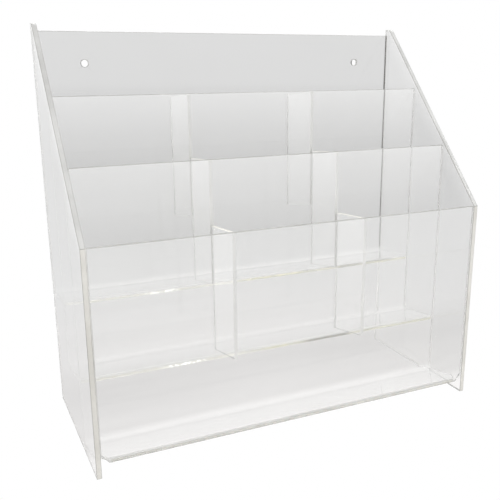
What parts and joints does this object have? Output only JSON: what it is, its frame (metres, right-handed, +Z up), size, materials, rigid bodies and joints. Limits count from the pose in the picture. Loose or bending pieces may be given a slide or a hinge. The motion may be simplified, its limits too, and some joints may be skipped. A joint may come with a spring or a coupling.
{
  "type": "magazine rack",
  "caption": "Clear acrylic stepped magazine rack with open-topped pockets in stepped tiers between pentagonal side panels, for a counter or a wall.",
  "frame": {"origin": "on the table, under the middle of the rack's footprint", "axes": "+X to the rack's right seen from its front, -Y towards its front, +Z up"},
  "size_m": [0.345, 0.148, 0.33],
  "materials": {
    "side_acrylic": "clear, polished",
    "sheet_acrylic": "clear, polished",
    "divider_acrylic": "clear, polished"
  },
  "bodies": {
    "root": {"left_side_panel": "side_acrylic", "right_side_panel": "side_acrylic", "front_panel": "sheet_acrylic", "lower_tier_sheet": "sheet_acrylic", "upper_tier_sheet": "sheet_acrylic", "back_tier_sheet": "sheet_acrylic", "divider_front_left": "divider_acrylic", "divider_front_right": "divider_acrylic", "divider_middle_left": "divider_acrylic", "divider_middle_right": "divider_acrylic", "divider_rear_left": "divider_acrylic", "divider_rear_right": "divider_acrylic"}
  },
  "joints": []
}
